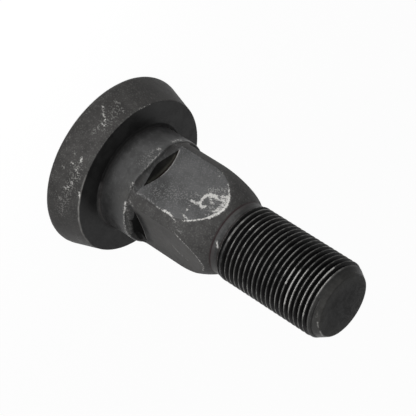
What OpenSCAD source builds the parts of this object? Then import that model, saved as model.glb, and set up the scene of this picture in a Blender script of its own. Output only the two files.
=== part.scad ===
// Blade bolt of a rotary cutter: one steel forging with a left-hand thread.
// From the head up it has a tapered round head, a round neck that a blade turns on, a square section
// that a blade carrier holds, a domed shoulder, a plain collar and a fine thread with a tapered end.
// Each of the four flats starts at the neck's end face, with a boat-shaped relief pocket at its root.
// The bolt stands on its head. The origin is the centre of the head's outer face, and +Z runs to the
// thread's end. The flats face +X, -X, +Y and -Y. The thread's turns are left off: its solid is a plain
// cylinder at the thread's outside diameter.

/* [Head] */
// Widest diameter of the head, near its outer face
head_d = 58.8; // [54:0.2:66]
// Height of the head, from its outer face to its bearing face
head_h = 12.2; // [8:0.2:18]
// Diameter of the bearing face, where the tapered rim ends
head_face_d = 52.7; // [44:0.1:53.5]
// Rounding between the head's outer face and its rim
head_edge_r = 2; // [1:0.1:3]
// Small rounding of the forged outer edges at the bearing face and the neck's end
edge_r = 0.4; // [0.2:0.1:0.6]

/* [Neck] */
// Diameter of the round neck
neck_d = 35.3; // [35:0.1:40]
// Height of the neck, from the bearing face to its end face
neck_h = 11; // [5:0.2:30]
// Rounding at the neck's root
neck_root_r = 1; // [0.5:0.1:2]

/* [Square] */
// Width of the square section across its flats
square_w = 27.3; // [26.4:0.1:29.5]
// Diameter over the square's rounded corners
corner_d = 34.6; // [33.8:0.1:34.9]
// Straight length of the corners, from the neck's end face to the shoulder
corner_h = 15.5; // [8:0.1:30]
// Rounding where each flat meets the neck's end face
flat_root_r = 1.8; // [0.5:0.1:2.5]

/* [Relief pockets] */
// Width of each pocket across its flat, from point to point
pocket_w = 16; // [10:0.2:18]
// Height of each pocket along the bolt, at the middle of its flat
pocket_h = 3.1; // [2:0.1:5]
// Depth of each pocket below its flat
pocket_depth = 2.8; // [1:0.1:3.5]
// Height of the narrow floor at a pocket's deepest line
pocket_floor_h = 0.4; // [0.2:0.1:1]
// Distance from the neck's end face to the near side of each pocket
pocket_gap = 0.8; // [0.5:0.1:3]

/* [Shoulder and collar] */
// Radius of the dome that rounds the square down to the collar
shoulder_r = 25.7; // [12:0.1:40]
// Diameter of the plain collar
collar_d = 24.6; // [23.2:0.1:25.4]
// Height of the plain collar
collar_h = 3.5; // [1:0.1:8]

/* [Thread] */
// Outside diameter of the thread
thread_d = 25.4; // [25.4:0.1:26]
// Length of the thread at full diameter
thread_h = 35.2; // [20:0.2:60]
// Length of the tapered end
taper_h = 3.7; // [1:0.1:6]
// Diameter of the flat end face
end_d = 20.8; // [16:0.1:24]

/* [Hidden] */
$fn = 128;

head_r = head_d / 2;
head_face_r = head_face_d / 2;
neck_r = neck_d / 2;
corner_r = corner_d / 2;
flat_x = square_w / 2;
collar_r = collar_d / 2;
thread_r = thread_d / 2;
end_r = end_d / 2;

// The dome is an arc that leaves the corners in line with them and drops to the collar's radius.
shoulder_drop = corner_r - collar_r;
shoulder_h = sqrt(pow(shoulder_r, 2) - pow(shoulder_r - shoulder_drop, 2));

// Heights where one section ends and the next starts
square_z = head_h + neck_h;
shoulder_z = square_z + corner_h;
collar_z = shoulder_z + shoulder_h;
thread_z = collar_z + collar_h;
taper_z = thread_z + thread_h;
end_z = taper_z + taper_h;

// Each pocket is the mark of a disc with a V-shaped rim, laid parallel to the neck's end face.
disc_r = (pow(pocket_w / 2, 2) + pow(pocket_depth, 2)) / (2 * pocket_depth);
disc_x = flat_x + disc_r - pocket_depth;
disc_mid_z = pocket_gap + pocket_h / 2;
rim_h = disc_mid_z - pocket_floor_h / 2;
rim_drop = rim_h * pocket_depth / ((pocket_h - pocket_floor_h) / 2);

// Unit vector from point a to point b
function towards(a, b) = (b - a) / norm(b - a);

// Point where a line through p touches, on its right-hand side, the circle of radius r about c
function touch_point(c, r, p) =
    let (turn = atan2(p[1] - c[1], p[0] - c[0]) - acos(r / norm(p - c)))
    c + r * [cos(turn), sin(turn)];

// Fills the corner between +X and +Y with a hollow curve of radius r.
module corner_fill(r) {
    difference() {
        square(r);
        translate([r, r]) circle(r);
    }
}

// Half outline of the head, with both edges of the rim rounded
module head_outline() {
    outer_centre = [head_r - head_edge_r, head_edge_r];
    face_corner = [head_face_r, head_h];
    rim_start = touch_point(outer_centre, head_edge_r, face_corner);
    rim_turn = atan2(head_h - rim_start[1], rim_start[0] - head_face_r);
    setback = edge_r * tan(rim_turn / 2);
    polygon([
        [0, 0],
        [outer_centre[0], 0],
        rim_start,
        face_corner + setback * towards(face_corner, rim_start),
        [head_face_r - setback, head_h],
        [0, head_h]
    ]);
    translate(outer_centre) circle(head_edge_r);
    translate([head_face_r - setback, head_h - edge_r]) circle(edge_r);
}

// Half outline of the neck, with its root and its outer edge rounded
module neck_outline() {
    difference() {
        square([neck_r, square_z]);
        translate([neck_r, square_z]) rotate(180) corner_fill(edge_r);
    }
    translate([neck_r, head_h]) corner_fill(neck_root_r);
}

// Half outline of the square section over its corners, with the dome that ends it
module shoulder_outline() {
    square([corner_r, shoulder_z]);
    intersection() {
        translate([0, square_z]) square([corner_r, collar_z - square_z]);
        translate([corner_r - shoulder_r, shoulder_z]) circle(shoulder_r);
    }
}

// Half outline of the collar, the thread's cylinder and the tapered end
module shank_outline() {
    square([collar_r, thread_z]);
    translate([0, thread_z]) polygon([
        [0, 0],
        [thread_r, 0],
        [thread_r, thread_h],
        [end_r, thread_h + taper_h],
        [0, thread_h + taper_h]
    ]);
}

// Metal that one flat takes away on the +X side, rounded at its root
module flat_cut() {
    reach = neck_d;
    rotate([90, 0, 0]) linear_extrude(height = 2 * reach, center = true) difference() {
        translate([flat_x, square_z]) square([reach, collar_z - square_z]);
        translate([flat_x, square_z]) corner_fill(flat_root_r);
    }
}

// Metal that one relief pocket takes away on the +X side
module pocket_cut() {
    translate([disc_x, 0, square_z]) rotate_extrude() polygon([
        [0, 0],
        [disc_r - rim_drop, 0],
        [disc_r, rim_h],
        [disc_r, rim_h + pocket_floor_h],
        [disc_r - rim_drop, 2 * disc_mid_z],
        [0, 2 * disc_mid_z]
    ]);
}

module blade_bolt() {
    color([0.16, 0.16, 0.165]) difference() {
        rotate_extrude() {
            head_outline();
            neck_outline();
            shoulder_outline();
            shank_outline();
        }
        for (turn = [0 : 90 : 270]) rotate([0, 0, turn]) {
            flat_cut();
            pocket_cut();
        }
    }
}

blade_bolt();
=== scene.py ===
"""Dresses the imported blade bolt: one blackened steel forging, with its pockets, worn edges and thread."""
import logging
import math
from dataclasses import dataclass, field
from enum import Enum
from functools import partial
from typing import Callable, Sequence

import bmesh
import bpy
import numpy as np
from mathutils import Matrix, Vector, noise


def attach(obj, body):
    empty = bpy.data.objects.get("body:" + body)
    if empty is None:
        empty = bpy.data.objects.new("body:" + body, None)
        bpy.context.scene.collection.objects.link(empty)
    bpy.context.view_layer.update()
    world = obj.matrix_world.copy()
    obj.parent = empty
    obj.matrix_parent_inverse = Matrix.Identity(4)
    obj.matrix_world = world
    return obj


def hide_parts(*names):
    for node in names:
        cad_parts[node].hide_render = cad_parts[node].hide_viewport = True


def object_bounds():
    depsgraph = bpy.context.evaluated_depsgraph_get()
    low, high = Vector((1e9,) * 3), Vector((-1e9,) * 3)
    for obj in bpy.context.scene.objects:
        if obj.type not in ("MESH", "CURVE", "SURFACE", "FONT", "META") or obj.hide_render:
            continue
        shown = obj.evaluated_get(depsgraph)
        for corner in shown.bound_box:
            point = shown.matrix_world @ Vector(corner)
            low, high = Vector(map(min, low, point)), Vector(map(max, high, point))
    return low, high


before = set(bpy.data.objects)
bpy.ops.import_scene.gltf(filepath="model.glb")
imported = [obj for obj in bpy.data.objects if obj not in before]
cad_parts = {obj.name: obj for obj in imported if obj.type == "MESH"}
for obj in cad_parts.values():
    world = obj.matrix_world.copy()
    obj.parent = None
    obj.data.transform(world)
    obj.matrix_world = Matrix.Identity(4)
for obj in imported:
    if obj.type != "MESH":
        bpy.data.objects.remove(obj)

CAD_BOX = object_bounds()
MM = 0.001
QUARTER = math.pi / 2
# Rounds in which a height is narrowed down by halving, and in which a groove's top settles
HALVINGS = 24
SETTLINGS = 10
# Degrees between the points of a path along a crest
CREST_STEP = 4
# Millimetres: deeper than any point of the bolt lies below its outside
DEEPEST = 20.0

Point = tuple[float, float, float]
Colour = tuple[float, float, float, float]
Socket = bpy.types.NodeSocket

logging.basicConfig(level=logging.INFO, format="%(name)s: %(message)s")
LOG = logging.getLogger("blade_bolt")


class Zone(Enum):
    """Stretches of the bolt, from the head's outer face to the thread's end."""

    HEAD = 1
    NECK = 2
    STEP = 3
    POCKET = 4
    SQUARE = 5
    DOME = 6
    COLLAR = 7
    THREAD = 8
    END = 9


class Slot(Enum):
    """The bolt's material slots, in order."""

    HEAD = 0
    FACE = 1
    NECK = 2
    SQUARE = 3
    LIT_FLAT = 4
    SHADED_FLAT = 5
    ROOT = 6
    POCKET = 7
    COLLAR = 8
    THREAD = 9
    END = 10


# The neck's end face takes the root finish, which is painted shade
SLOT_OF_ZONE = {
    Zone.HEAD: Slot.HEAD, Zone.NECK: Slot.NECK, Zone.STEP: Slot.ROOT, Zone.POCKET: Slot.SQUARE,
    Zone.SQUARE: Slot.SQUARE, Zone.DOME: Slot.SQUARE, Zone.COLLAR: Slot.COLLAR, Zone.THREAD: Slot.THREAD,
    Zone.END: Slot.END,
}


def ramp(value: float, start: float, end: float) -> float:
    """Eases from 0 at start to 1 at end.

    Args:
        value: The number to ease.
        start: Where the ease begins.
        end: Where it is complete; it may be less than start.

    Returns:
        A share from 0 to 1.
    """
    share = min(max((value - start) / (end - start), 0.0), 1.0)
    return share * share * (3 - 2 * share)


def soft_min(first: float, second: float, reach: float) -> float:
    """The smaller of two lengths, with the corner between them rounded over a short reach."""
    overlap = max(reach - abs(first - second), 0.0) / reach
    return min(first, second) - overlap * overlap * reach / 4


@dataclass
class Pen:
    """Draws a half outline in the XZ plane, one vertex to a row, ready to be spun round Z.

    Every vertex carries its zone and its share of the stroke, and a spin hands both to its copies.
    """

    bm: bmesh.types.BMesh
    r: float
    z: float
    first_zone: Zone

    def __post_init__(self) -> None:
        """Makes the layers and puts the first vertex down."""
        layers = self.bm.verts.layers
        self.zone = layers.int.get("zone") or layers.int.new("zone")
        # The depth below the outside, painted as shade on the skin, also carries the flats' painted root
        # shade
        self.share, self.sunk, self.flat, self.ridge = (
            layers.float.get(name) or layers.float.new(name) for name in ("share", "sunk", "flat", "ridge")
        )
        self.outline = [self.bm.verts.new((self.r, 0, self.z))]
        self._mark(self.outline[0], self.first_zone, 0.0)

    def _mark(self, vert: bmesh.types.BMVert, zone: Zone, share: float) -> None:
        """Notes a vertex's zone and share."""
        vert[self.zone] = zone.value
        vert[self.share] = share

    def line(self, r: float, z: float, stops: Sequence[float], zone: Zone) -> None:
        """Draws a straight stroke.

        Args:
            r: Radius at the stroke's end.
            z: Height at the stroke's end.
            stops: Shares of the stroke at which rows lie, the last one 1.
            zone: The zone of the new rows.
        """
        start, end = self.outline[-1].co.copy(), Vector((r, 0, z))
        for stop in stops:
            made = bmesh.ops.extrude_vert_indiv(self.bm, verts=[self.outline[-1]])["verts"][0]
            made.co = start.lerp(end, stop)
            self._mark(made, zone, stop)
            self.outline.append(made)

    def arc(self, r: float, z: float, degrees: float, rows: int, zone: Zone) -> None:
        """Draws an arc, counter-clockwise where degrees is positive, seen with Z up.

        Args:
            r: Radius of the arc's centre from the bolt's axis.
            z: Height of the arc's centre.
            degrees: How far the arc turns.
            rows: Number of rows that it gets.
            zone: The zone of the new rows.
        """
        before = len(self.bm.verts)
        bmesh.ops.spin(
            self.bm, geom=[self.outline[-1]], cent=(r, 0, z), axis=(0, -1, 0),
            angle=math.radians(degrees), steps=rows,
        )
        self.bm.verts.ensure_lookup_table()
        for row in range(1, rows + 1):
            made = self.bm.verts[before + row - 1]
            self._mark(made, zone, row / rows)
            self.outline.append(made)

    def spin(self, spans: Sequence[tuple[float, int]], start: float = 0.0, climb: float = 0.0) -> None:
        """Spins the outline round Z, in spans whose columns may be close or wide.

        Args:
            spans: Pairs of degrees and number of columns. Where they add up to a part of a turn,
                that part is repeated until it closes.
            start: Direction of the first column, in degrees.
            climb: Height that a full turn gains, for a thread.
        """
        edges = dict.fromkeys(edge for vert in self.outline for edge in vert.link_edges)
        bmesh.ops.rotate(self.bm, verts=self.outline, matrix=Matrix.Rotation(math.radians(start), 3, "Z"))
        geometry = [*self.outline, *edges]
        for degrees, columns in spans:
            step = climb * degrees / 360 / columns
            geometry = bmesh.ops.spin(
                self.bm, geom=geometry, cent=(0, 0, 0), axis=(0, 0, 1), dvec=(0, 0, step),
                angle=math.radians(degrees), steps=columns,
            )["geom_last"]
        done = sum(degrees for degrees, _ in spans)
        copies = round(360 / done) - 1
        if copies:
            bmesh.ops.spin(
                self.bm, geom=[*self.bm.verts, *self.bm.edges, *self.bm.faces],
                cent=(0, 0, 0), axis=(0, 0, 1),
                angle=math.radians(done * copies), steps=copies, use_duplicate=True,
            )


def even(rows: int) -> list[float]:
    """Shares of a stroke with its rows evenly spaced."""
    return [row / rows for row in range(1, rows + 1)]


def as_mesh(bm: bmesh.types.BMesh, name: str) -> bpy.types.Mesh:
    """Turns an edited mesh into mesh data and frees it."""
    mesh = bpy.data.meshes.new(name)
    bm.to_mesh(mesh)
    bm.free()
    return mesh


def add_object(name: str, data: bpy.types.ID) -> bpy.types.Object:
    """Makes an object and links it to the scene."""
    made = bpy.data.objects.new(name, data)
    bpy.context.scene.collection.objects.link(made)
    return made


def direction(turn: float, height: float) -> Vector:
    """The unit vector at a turn from +X towards +Y and an angle above the floor, both in degrees."""
    flat, level = math.radians(turn), math.radians(height)
    return Vector((math.cos(level) * math.cos(flat), math.cos(level) * math.sin(flat), math.sin(level)))


@dataclass
class HeadAndNeck:
    """The round head with its tapered rim, and the round neck."""

    widest_r: float = 29.4
    face_r: float = 26.35
    height: float = 12.2
    outer_edge_r: float = 2.0
    face_edge_r: float = 0.45
    neck_r: float = 17.65
    neck_h: float = 11.0
    neck_root_r: float = 1.0
    neck_edge_r: float = 0.4
    facet_x: float = 16.15
    facet_h: float = 7.0
    facet_edge: float = 0.5

    @property
    def neck_end(self) -> float:
        """Height of the neck's end face."""
        return self.height + self.neck_h

    @property
    def step_r(self) -> float:
        """Radius at which the neck's rounded edge meets its end face."""
        return self.neck_r - self.neck_edge_r

    def draw(self, pen: Pen) -> None:
        """Draws the outline from the middle of the outer face to the neck's end face.

        Args:
            pen: The pen, at the middle of the outer face.
        """
        centre_r, centre_z = self.widest_r - self.outer_edge_r, self.outer_edge_r
        run, rise = self.face_r - centre_r, self.height - centre_z
        reach = math.hypot(run, rise)
        start = math.atan2(rise, run) - math.acos(self.outer_edge_r / reach)
        rim_r = centre_r + self.outer_edge_r * math.cos(start)
        rim_z = centre_z + self.outer_edge_r * math.sin(start)
        turn = math.atan2(self.height - rim_z, rim_r - self.face_r)
        setback = self.face_edge_r * math.tan(turn / 2)
        slope = Vector((rim_r - self.face_r, rim_z - self.height)).normalized() * setback
        pen.line(centre_r, 0, (0.3, 0.6, 0.85, 1), Zone.HEAD)
        pen.arc(centre_r, centre_z, 90 + math.degrees(start), 8, Zone.HEAD)
        pen.line(self.face_r + slope.x, self.height + slope.y, (*even(9)[:-1], 0.975, 1), Zone.HEAD)
        pen.arc(self.face_r - setback, self.height - self.face_edge_r, math.degrees(turn), 4, Zone.HEAD)
        root = self.neck_r + self.neck_root_r
        pen.line(root, self.height, (0.03, *even(6)), Zone.HEAD)
        pen.arc(root, self.height + self.neck_root_r, -90, 6, Zone.NECK)
        pen.line(self.neck_r, self.neck_end - self.neck_edge_r, even(16), Zone.NECK)
        pen.arc(self.step_r, self.neck_end - self.neck_edge_r, 90, 5, Zone.NECK)

    def press_facet(self, point: Vector) -> Vector:
        """Flattens the neck's end on the +X side, where the forging was struck.

        Args:
            point: A point on the neck's outline.

        Returns:
            The point on the forging.
        """
        climb = (point.z - self.neck_end + self.facet_h) / self.facet_h
        if climb <= 0:
            return point
        inset = self.neck_r - math.hypot(point.x, point.y)
        limit = self.neck_r - (self.neck_r - self.facet_x) * climb - inset
        return Vector((soft_min(point.x, limit, self.facet_edge), point.y, point.z))


@dataclass(frozen=True)
class Pocket:
    """A relief pocket: the mark of a disc with a V-shaped rim, laid parallel to the neck's end face."""

    mid: float = 2.15
    shift: float = 0.0
    disc_r: float = 12.96
    disc_x: float = 23.68
    near_slope: float = 2.1
    far_slope: float = 1.37
    floor_half: float = 0.06

    def wall(self, across: float, rise: float) -> float:
        """Distance of the wall from the bolt's axis, at a place across the flat and up from its root."""
        away = max(abs(rise - self.mid) - self.floor_half, 0.0)
        slope = self.near_slope if rise < self.mid else self.far_slope
        reach, aside = self.disc_r - away * slope, abs(across - self.shift)
        if reach <= aside:
            return self.disc_x
        return self.disc_x - math.sqrt(reach ** 2 - aside ** 2)


@dataclass
class Square:
    """The square section: four flats with a rounded root and a relief pocket each, and the dome."""

    base: float
    flat_x: float = 13.65
    corner_r: float = 17.3
    corner_h: float = 15.5
    root_r: float = 1.8
    root_shade: float = 0.08
    shade_fade: float = 0.5
    shade_cut: float = 0.12
    pocket_top: float = 5.4
    pockets: tuple[Pocket, ...] = (
        Pocket(shift=-0.9),
        Pocket(mid=2.1, shift=0.6, near_slope=1.8, far_slope=4.5),
        Pocket(mid=2.1),
        Pocket(mid=2.2),
    )
    pocket_start: float = 0.04
    least_half: float = 0.05
    spread_past_tip: float = 0.35
    flat_edge: float = 0.24
    pocket_edge: float = 0.16
    dome_r: float = 25.7
    collar_r: float = 12.3
    crease_r: float = 0.15

    @property
    def dome_start(self) -> float:
        """Height at which the corners end and the dome starts."""
        return self.base + self.corner_h

    @property
    def dome_axis(self) -> float:
        """Radius of the dome arc's centre, on the far side of the bolt's axis."""
        return self.corner_r - self.dome_r

    def draw(self, pen: Pen, collar_stop: float) -> None:
        """Draws the outline over a corner, from the neck's end face to the collar.

        Args:
            pen: The pen, at the neck's end face.
            collar_stop: Height at which the collar's last row lies.
        """
        pen.line(self.corner_r, self.base, even(5), Zone.STEP)
        near = (0.03, 0.0625, 0.1, 0.1375, 0.175, 0.205, 0.23, 0.25)
        lower = (0.2675, 0.30, 0.35, 0.40, 0.45, 0.485, 0.5)
        upper = (0.515, 0.55, 0.60, 0.65, 0.70, 0.7325, 0.75)
        past = (0.7675, 0.80, 0.85, 0.92, 1.0)
        pen.line(self.corner_r, self.base + self.pocket_top, (*near, *lower, *upper, *past), Zone.POCKET)
        pen.line(self.corner_r, self.dome_start, even(16), Zone.SQUARE)
        inner = self.collar_r + self.crease_r
        crease_turn = math.acos((inner - self.dome_axis) / (self.dome_r + self.crease_r))
        pen.arc(self.dome_axis, self.dome_start, math.degrees(crease_turn), 44, Zone.DOME)
        crease_z = self.dome_start + (self.dome_r + self.crease_r) * math.sin(crease_turn)
        pen.arc(inner, crease_z, -math.degrees(crease_turn), 3, Zone.COLLAR)
        pen.line(self.collar_r, collar_stop, (0.12, 0.25, 0.45, 0.7, 1), Zone.COLLAR)

    def flat_at(self, rise: float) -> float:
        """Distance of a flat from the axis, at a height above the neck's end face."""
        if rise >= self.root_r:
            return self.flat_x
        fall = self.root_r - rise
        return self.flat_x + self.root_r - math.sqrt(self.root_r ** 2 - fall ** 2)

    def pocket_ends(self, across: float, pocket: Pocket) -> tuple[float, float]:
        """Finds where a pocket starts and ends along the bolt.

        Args:
            across: The place across the flat.
            pocket: The flat's pocket.

        Returns:
            The two heights above the neck's end face; they draw together at the pocket's points
            and apart again beyond them.
        """
        tip = math.sqrt(pocket.disc_r ** 2 - (pocket.disc_x - self.flat_x) ** 2)
        aside = abs(across - pocket.shift)
        if aside >= tip:
            half = self.least_half + self.spread_past_tip * (aside - tip)
            return pocket.mid - half, pocket.mid + half
        reach = math.hypot(pocket.disc_x - self.flat_x, aside)
        high = pocket.mid + pocket.floor_half + (pocket.disc_r - reach) / pocket.far_slope
        low, inside = self.pocket_start, pocket.mid
        for _ in range(HALVINGS):
            middle = (low + inside) / 2
            if pocket.wall(across, middle) < self.flat_at(middle):
                inside = middle
            else:
                low = middle
        return min(low, pocket.mid - self.least_half), max(high, pocket.mid + self.least_half)

    def rise_in_pocket(self, across: float, share: float, pocket: Pocket) -> float:
        """Slides a pocket row so that it follows the pocket's edges.

        Args:
            across: The place across the flat.
            share: The row's share of the pocket stroke; a quarter is the near edge.
            pocket: The flat's pocket.

        Returns:
            The row's height above the neck's end face.
        """
        low, high = self.pocket_ends(across, pocket)
        part = share * 4
        if part < 1:
            return low * part * part
        stops = (low, pocket.mid, high, self.pocket_top)
        span = min(int(part) - 1, 2)
        return stops[span] + (stops[span + 1] - stops[span]) * (part - 1 - span)

    def place(self, zone: Zone, share: float, point: Vector, edge: Vector) -> tuple[Vector, float, float]:
        """Presses a point of the round outline into the square section.

        Args:
            zone: The zone of the point's row.
            share: The row's share of its stroke.
            point: The point on the spun outline.
            edge: The end of the neck's rounded edge in the same direction.

        Returns:
            The point on the forging, how far it lies in a pocket, raised to the painted shade at the flat's
            root where that is more, and how far the flat cut it back.
        """
        turn = math.atan2(point.y, point.x)
        side = QUARTER * round(turn / QUARTER)
        radius = self.corner_r if zone is Zone.STEP else math.hypot(point.x, point.y)
        round_out, across = radius * math.cos(turn - side), radius * math.sin(turn - side)
        rise = point.z - self.base
        pocket = self.pockets[round(turn / QUARTER) % 4]
        if zone is Zone.STEP:
            rise = 0.0
        elif zone is Zone.POCKET:
            rise = self.rise_in_pocket(across, share, pocket)
        out = flat_out = soft_min(round_out, self.flat_at(rise), self.flat_edge)
        if zone in (Zone.STEP, Zone.POCKET):
            out = soft_min(flat_out, pocket.wall(across, rise), self.pocket_edge)
        made = Vector((out, across, self.base + rise))
        made.rotate(Matrix.Rotation(side, 3, "Z"))
        if zone is Zone.STEP:
            return edge.lerp(made, share), 0.0, 0.0
        cut = round_out - flat_out
        # Painted shade at the flats' roots, carried as extra depth so that the skin darkens there
        painted_root_shade = self.root_shade * ramp(rise, self.root_r + self.shade_fade, self.root_r)
        painted_root_shade *= ramp(cut, 0.0, self.shade_cut)
        return made, max(flat_out - out, painted_root_shade), cut


@dataclass
class FineThread:
    """The left-hand thread, its run-out on the collar and its tapered end."""

    start: float = 57.43
    length: float = 35.2
    crest_r: float = 12.7
    collar_r: float = 12.3
    end_r: float = 10.4
    taper_h: float = 3.7
    pitch: float = 25.4 / 14
    depth: float = 1.11
    root_half: float = 0.153
    root_dip: float = 0.03
    crest_edge: float = 0.04
    wide_crest: float = 0.9
    first_crest: float = 57.4
    fade_low: float = 57.2
    fade_high: float = 59.0
    step_half: float = 0.2
    columns: int = 128
    rows: int = 8
    cut_low: float = 56.1
    cut_high: float = 95.2
    end_edge_r: float = 0.6

    @property
    def taper_start(self) -> float:
        """Height at which the tapered end starts."""
        return self.start + self.length

    @property
    def end(self) -> float:
        """Height of the end face."""
        return self.taper_start + self.taper_h

    @property
    def flank(self) -> float:
        """Rise of a thread flank along the radius for each unit along the bolt, at 30 degrees."""
        return math.tan(math.radians(60))

    @property
    def first_groove(self) -> float:
        """Height of the lowest full groove where it passes the +X direction."""
        return self.first_crest + self.pitch / 2

    @property
    def strip_start(self) -> float:
        """Height of the lowest row where it passes the +X direction."""
        return self.first_groove - 2 * self.pitch

    def outside(self, z: float) -> float:
        """Radius of the bolt over its crests at a height: collar, thread or tapered end."""
        risen = ramp(z, self.start - self.step_half, self.start + self.step_half)
        fall = (self.crest_r - self.end_r) / self.taper_h * (z - self.taper_start)
        return min(self.collar_r + (self.crest_r - self.collar_r) * risen, self.crest_r - max(fall, 0.0))

    def root_at(self, groove: float) -> float:
        """Radius of a groove's root; the first groove fades out on the collar."""
        return self.crest_r - self.depth * ramp(groove, self.fade_low, self.fade_high)

    def groove_top(self, groove: float, way: int) -> float:
        """Finds the height at which a groove's flank meets the outside.

        Args:
            groove: Height of the groove's middle.
            way: 1 for the flank above it and -1 for the flank below it.

        Returns:
            The height, or the root's own edge where no groove is left.
        """
        root, foot = self.root_at(groove), groove + way * self.root_half
        top = foot
        for _ in range(SETTLINGS):
            top = foot + way * max(self.outside(top) - root, 0.0) / self.flank
        return top

    def place(self, row: int, point: Vector) -> tuple[Vector, float, float]:
        """Shapes one point of the plain spun strip into the thread.

        Args:
            row: The point's row; every eighth row is a groove's middle.
            point: The point on the plain strip.

        Returns:
            The point on the thread, how far it lies below the outside, and 1 on a narrow crest.
        """
        climbed = self.strip_start + row * self.pitch / self.rows - point.z
        below = self.strip_start + (row // self.rows) * self.pitch - climbed
        above, kind = below + self.pitch, row % self.rows
        if kind == 0:
            z, r = below, min(self.outside(below), self.root_at(below) - self.root_dip)
        elif kind == self.rows // 2:
            z = (self.groove_top(below, 1) + self.groove_top(above, -1)) / 2
            r = self.outside(z)
        else:
            way = 1 if kind < self.rows // 2 else -1
            groove, step = (below, kind) if way == 1 else (above, self.rows - kind)
            z, r = self.flank_point(groove, way, step)
        turn = math.atan2(point.y, point.x)
        crest = self.groove_top(above, -1) - self.groove_top(below, 1)
        ridge = ramp(crest, self.wide_crest, self.wide_crest / 2) if 2 <= kind <= self.rows - 2 else 0.0
        return Vector((r * math.cos(turn), r * math.sin(turn), z)), self.outside(z) - r, ridge

    def flank_point(self, groove: float, way: int, step: int) -> tuple[float, float]:
        """Places the three rows on one side of a groove: foot, top of the flank and crest's edge.

        Args:
            groove: Height of the groove's middle.
            way: 1 for the side above it and -1 for the side below it.
            step: 1, 2 or 3, counted from the groove.

        Returns:
            The row's height and radius.
        """
        foot, root = groove + way * self.root_half, self.root_at(groove)
        top = self.groove_top(groove, way)
        if abs(top - foot) < 2 * self.crest_edge:
            z = foot + way * (step - 1) * self.crest_edge
            return z, self.outside(z)
        if step == 1:
            return foot, root
        if step == 2:
            z = top - way * self.crest_edge
            return z, root + abs(z - foot) * self.flank
        z = top + way * self.crest_edge
        return z, self.outside(z)

    def build(self) -> bpy.types.Mesh:
        """Spins the strip, shapes it and cuts it square at both ends.

        Returns:
            A mesh open at both ends, in millimetres.
        """
        bm = bmesh.new()
        pen = Pen(bm, self.crest_r, self.strip_start, Zone.THREAD)
        pitches = math.ceil((self.end - self.strip_start) / self.pitch) + 2
        count = pitches * self.rows
        pen.line(self.crest_r, self.strip_start + pitches * self.pitch, even(count), Zone.THREAD)
        pen.spin([(360, self.columns)], climb=-self.pitch)
        for vert in bm.verts:
            vert.co, vert[pen.sunk], vert[pen.ridge] = self.place(round(vert[pen.share] * count), vert.co)
        bmesh.ops.remove_doubles(bm, verts=bm.verts, dist=1e-3)
        for height, up in ((self.cut_low, -1), (self.cut_high, 1)):
            bmesh.ops.bisect_plane(
                bm, geom=[*bm.verts, *bm.edges, *bm.faces], dist=1e-5,
                plane_co=(0, 0, height), plane_no=(0, 0, up), clear_outer=True,
            )
        return as_mesh(bm, "thread_strip")

    def build_end(self, cut: float) -> bpy.types.Mesh:
        """Spins the last stretch of the tapered end and the end face.

        Args:
            cut: Height at which it starts.

        Returns:
            A mesh open at its lower end, in millimetres.
        """
        bm = bmesh.new()
        turn = math.pi / 2 - math.atan2(self.crest_r - self.end_r, self.taper_h)
        setback = self.end_edge_r * math.tan(turn / 2)
        slope = Vector((self.crest_r - self.end_r, -self.taper_h)).normalized() * setback
        pen = Pen(bm, self.outside(cut), cut, Zone.END)
        pen.line(self.end_r + slope.x, self.end + slope.y, even(2), Zone.END)
        pen.arc(self.end_r - setback, self.end - self.end_edge_r, math.degrees(turn), 5, Zone.END)
        pen.line(0, self.end, even(8), Zone.END)
        pen.spin([(360, self.columns)])
        return as_mesh(bm, "thread_end")


@dataclass(frozen=True)
class Mark:
    """A worn or paler place, or one of painted shade or painted highlight: its path in millimetres, how far
    it spreads and how strong it is.
    """

    path: tuple[Point, ...]
    spread: float
    strength: float

    def over(self, points: np.ndarray) -> np.ndarray:
        """Measures the mark at every point of a mesh.

        Args:
            points: Rows of x, y and z in millimetres.

        Returns:
            How strong the mark is at each point, from 0 up.
        """
        nearest = np.full(len(points), np.inf)
        stops = np.array(self.path)
        for start, end in zip(stops[:-1], stops[1:]):
            way = end - start
            share = np.clip(((points - start) @ way) / (way @ way), 0, 1)
            away = np.linalg.norm(points - start - share[:, None] * way, axis=1)
            nearest = np.minimum(nearest, away)
        share = np.clip(1 - nearest / self.spread, 0, 1)
        return self.strength * share * share * (3 - 2 * share)


@dataclass(frozen=True)
class Dent:
    """A knock in the forging: where it is in millimetres, how wide and how deep."""

    place: Point
    reach: float
    depth: float

    def at(self, point: Vector) -> float:
        """How deep the knock is at a point."""
        return self.depth * ramp((point - Vector(self.place)).length, self.reach, 0.0)


def in_place(x: float, y: float, z: float) -> Point:
    """A place given in the bolt's frame."""
    return x, y, z


def round_bolt(r: float, turn: float, z: float) -> Point:
    """A place given by its radius, its direction in degrees and its height."""
    return r * math.cos(math.radians(turn)), r * math.sin(math.radians(turn)), z


def on_flat(side: int, height: float, across: float) -> Point:
    """A place on the flat that faces +X, where side is 0, or +Y, where it is 1."""
    turn, out = side * QUARTER, Square.flat_x
    x = out * math.cos(turn) - across * math.sin(turn)
    return x, out * math.sin(turn) + across * math.cos(turn), height


def marks(lay: Callable[..., Point], *rows: Sequence[object]) -> tuple[Mark, ...]:
    """Makes marks from a table.

    Args:
        lay: Turns a place of the table into a point in the bolt's frame.
        rows: The spread and the strength of each mark, and then the places of its path.

    Returns:
        The marks.
    """
    return tuple(
        Mark(tuple(lay(*place) for place in places), spread, strength)
        for spread, strength, *places in rows
    )


def ring_marks(*rows: tuple[float, float, int, int, int, float, float]) -> tuple[Mark, ...]:
    """Makes marks that run round the bolt.

    Args:
        rows: Radius, height, first and last direction and the step between them in degrees, spread and
            strength.

    Returns:
        The marks.
    """
    return tuple(
        Mark(tuple(round_bolt(r, turn, z) for turn in range(first, last + 1, step)), spread, strength)
        for r, z, first, last, step, spread, strength in rows
    )


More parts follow.
